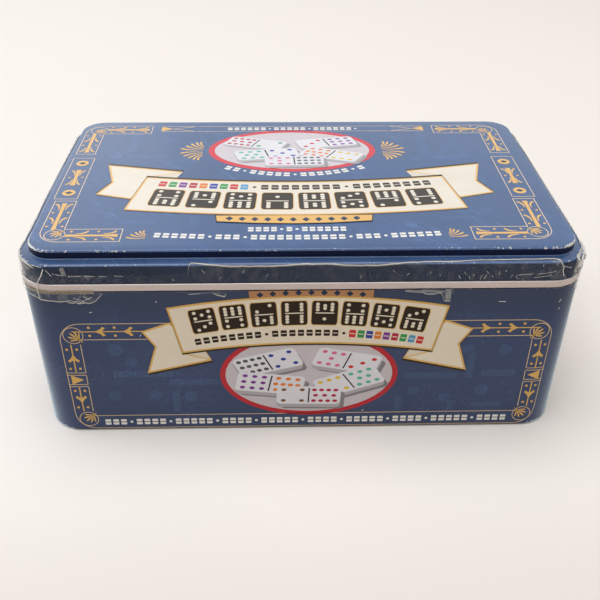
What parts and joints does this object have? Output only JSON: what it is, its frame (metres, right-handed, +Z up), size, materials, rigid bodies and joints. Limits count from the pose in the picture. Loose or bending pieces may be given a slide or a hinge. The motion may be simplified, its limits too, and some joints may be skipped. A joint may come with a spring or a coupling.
{
  "type": "domino tin",
  "caption": "Rectangular printed tin with rounded corners and a stepped slip-over lid that lifts off, holding layers of domino tiles, a starter piece and a rules booklet.",
  "frame": {"origin": "middle of the bottom, on the plane that the tin stands on", "axes": "+X along the long side, +Z up through the lid, and the front faces -Y"},
  "size_m": [0.2174, 0.1322, 0.086],
  "materials": {
    "printed_tin": "navy lithographed print under clear gloss varnish",
    "bare_tin": "unprinted tinplate, rolled satin",
    "clear_film": "clear shrink film, creased",
    "tile_plastic": "ivory white moulded tile with coloured pips",
    "starter_plastic": "satin moulded plastic",
    "booklet_paper": "uncoated printed paper"
  },
  "bodies": {
    "root": {"tin_wall": "printed_tin", "tin_base": "bare_tin", "starter_piece": "starter_plastic", "rules_booklet": "booklet_paper", "tile_stack_01": "tile_plastic", "tile_stack_02": "tile_plastic", "tile_stack_03": "tile_plastic", "tile_stack_04": "tile_plastic", "tile_stack_05": "tile_plastic", "tile_stack_06": "tile_plastic", "tile_stack_07": "tile_plastic", "tile_stack_08": "tile_plastic", "tile_stack_09": "tile_plastic", "tile_stack_10": "tile_plastic", "tile_stack_11": "tile_plastic", "tile_stack_12": "tile_plastic", "tile_stack_13": "tile_plastic", "tile_stack_14": "tile_plastic", "tile_stack_15": "tile_plastic", "tile_stack_16": "tile_plastic", "tile_stack_17": "tile_plastic", "tile_stack_18": "tile_plastic", "tile_stack_19": "tile_plastic", "tile_stack_20": "tile_plastic", "tile_fourth_layer_01": "tile_plastic", "tile_fourth_layer_02": "tile_plastic", "tile_fourth_layer_03": "tile_plastic", "tile_fourth_layer_04": "tile_plastic", "tile_fourth_layer_05": "tile_plastic", "tile_fourth_layer_06": "tile_plastic", "tile_fourth_layer_07": "tile_plastic", "tile_fourth_layer_08": "tile_plastic", "tile_fourth_layer_09": "tile_plastic", "tile_fourth_layer_10": "tile_plastic", "tile_fourth_layer_11": "tile_plastic", "tile_fourth_layer_12": "tile_plastic", "tile_fourth_layer_13": "tile_plastic", "tile_fourth_layer_14": "tile_plastic", "tile_fourth_layer_15": "tile_plastic", "tile_fourth_layer_16": "tile_plastic", "tile_fourth_layer_17": "tile_plastic", "tile_fourth_layer_18": "tile_plastic", "tile_fourth_layer_19": "tile_plastic", "tile_fourth_layer_20": "tile_plastic", "tile_fifth_layer_01": "tile_plastic", "tile_fifth_layer_02": "tile_plastic", "tile_fifth_layer_03": "tile_plastic", "tile_fifth_layer_04": "tile_plastic", "tile_fifth_layer_05": "tile_plastic", "tile_fifth_layer_06": "tile_plastic", "tile_fifth_layer_07": "tile_plastic", "tile_fifth_layer_08": "tile_plastic", "tile_fifth_layer_09": "tile_plastic", "tile_fifth_layer_10": "tile_plastic", "tile_fifth_layer_11": "tile_plastic"},
    "lid": {"lid_shell": "printed_tin", "shrink_film": "clear_film"}
  },
  "joints": [
    {"name": "lid_lift", "type": "slide", "parent": "root", "child": "lid", "axis": [0, 0, 1], "range_m": [0, 0.15]}
  ]
}
